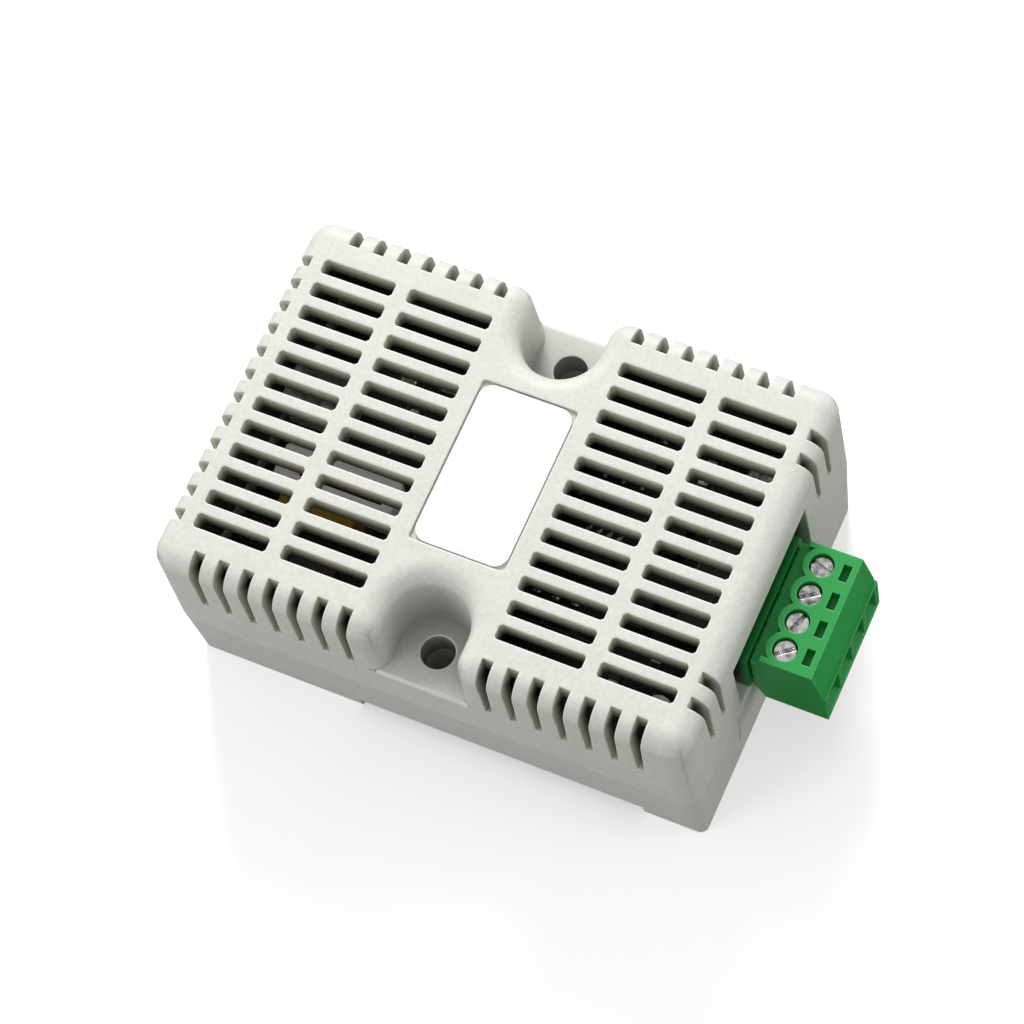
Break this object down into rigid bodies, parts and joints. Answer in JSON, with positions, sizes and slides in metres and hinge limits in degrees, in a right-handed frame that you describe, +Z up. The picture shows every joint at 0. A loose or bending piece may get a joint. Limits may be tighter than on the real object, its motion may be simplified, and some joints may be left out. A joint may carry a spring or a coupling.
{
  "type": "temperature humidity sensor",
  "caption": "Vented box housing for a wall or rail, with a circuit board and sensor inside, a sliding rail latch and a pull-off screw terminal plug at one end.",
  "frame": {"origin": "midway between the two wall screw holes, on the plane that the feet stand on", "axes": "+X along the case towards the terminal plug, +Y across the case along the line of the wall screws, +Z up from the feet to the vented roof"},
  "size_m": [0.0741, 0.046, 0.0285],
  "materials": {
    "housing_plastic": "fine matt moulded",
    "latch_plastic": "matt moulded",
    "label_film": "smooth white film, bare",
    "board_laminate": "glossy solder mask",
    "plated_steel": "bright plated",
    "tinned_metal": "tinned",
    "clamp_metal": "nickel plated brass",
    "terminal_plastic": "satin moulded",
    "white_plastic": "matt moulded",
    "chip_plastic": "matt moulded",
    "film_box": "smooth box",
    "ferrite": "pressed ferrite with a varnished winding",
    "can_metal": "bare can",
    "resistor_body": "glazed",
    "capacitor_body": "fired",
    "lamp_body": "clear moulded lens"
  },
  "bodies": {
    "case": {"base_shell": "housing_plastic", "top_cover": "housing_plastic", "label_plate": "label_film", "circuit_board": "board_laminate", "board_screws": "plated_steel", "terminal_header": "terminal_plastic", "header_pins": "tinned_metal", "sensor_cap": "white_plastic", "sensor_chip": "chip_plastic", "film_capacitor": "film_box", "choke": "ferrite", "link_connector": "white_plastic", "connector_pins": "tinned_metal", "capacitor_base": "chip_plastic", "bulk_capacitor": "can_metal", "crystal": "can_metal", "microcontroller": "chip_plastic", "transceiver": "chip_plastic", "regulator": "chip_plastic", "chip_leads": "tinned_metal", "clamp_diodes": "chip_plastic", "chip_resistors": "resistor_body", "chip_capacitors": "capacitor_body", "status_led": "lamp_body"},
    "latch": {"din_latch": "latch_plastic"},
    "plug": {"plug_body": "terminal_plastic", "plug_contacts": "tinned_metal"},
    "screw_1": {"clamp_screw_1": "plated_steel"},
    "screw_2": {"clamp_screw_2": "plated_steel"},
    "screw_3": {"clamp_screw_3": "plated_steel"},
    "screw_4": {"clamp_screw_4": "plated_steel"},
    "clamp_1": {"wire_clamp_1": "clamp_metal"},
    "clamp_2": {"wire_clamp_2": "clamp_metal"},
    "clamp_3": {"wire_clamp_3": "clamp_metal"},
    "clamp_4": {"wire_clamp_4": "clamp_metal"}
  },
  "joints": [
    {"name": "latch_slide", "type": "slide", "parent": "case", "child": "latch", "axis": [-1, 0, 0], "range_m": [0, 0.0022]},
    {"name": "plug_pull", "type": "slide", "parent": "case", "child": "plug", "axis": [1, 0, 0], "range_m": [0, 0.012]},
    {"name": "clamp_screw_1_turn", "type": "hinge", "parent": "plug", "child": "screw_1", "pos_m": [0.0362, -0.00525, 0.0208], "axis": [0, 0, -1], "range_deg": [0, 1440]},
    {"name": "clamp_screw_2_turn", "type": "hinge", "parent": "plug", "child": "screw_2", "pos_m": [0.0362, -0.00175, 0.0208], "axis": [0, 0, -1], "range_deg": [0, 1440]},
    {"name": "clamp_screw_3_turn", "type": "hinge", "parent": "plug", "child": "screw_3", "pos_m": [0.0362, 0.00175, 0.0208], "axis": [0, 0, -1], "range_deg": [0, 1440]},
    {"name": "clamp_screw_4_turn", "type": "hinge", "parent": "plug", "child": "screw_4", "pos_m": [0.0362, 0.00525, 0.0208], "axis": [0, 0, -1], "range_deg": [0, 1440]},
    {"name": "wire_clamp_1_rise", "type": "slide", "parent": "plug", "child": "clamp_1", "axis": [0, 0, 1], "range_m": [0, 0.0016]},
    {"name": "wire_clamp_2_rise", "type": "slide", "parent": "plug", "child": "clamp_2", "axis": [0, 0, 1], "range_m": [0, 0.0016]},
    {"name": "wire_clamp_3_rise", "type": "slide", "parent": "plug", "child": "clamp_3", "axis": [0, 0, 1], "range_m": [0, 0.0016]},
    {"name": "wire_clamp_4_rise", "type": "slide", "parent": "plug", "child": "clamp_4", "axis": [0, 0, 1], "range_m": [0, 0.0016]}
  ],
  "couplings": [
    {"joint": "clamp_screw_1_turn", "follows": "wire_clamp_1_rise", "rad_per_m": 15708},
    {"joint": "clamp_screw_2_turn", "follows": "wire_clamp_2_rise", "rad_per_m": 15708},
    {"joint": "clamp_screw_3_turn", "follows": "wire_clamp_3_rise", "rad_per_m": 15708},
    {"joint": "clamp_screw_4_turn", "follows": "wire_clamp_4_rise", "rad_per_m": 15708}
  ]
}
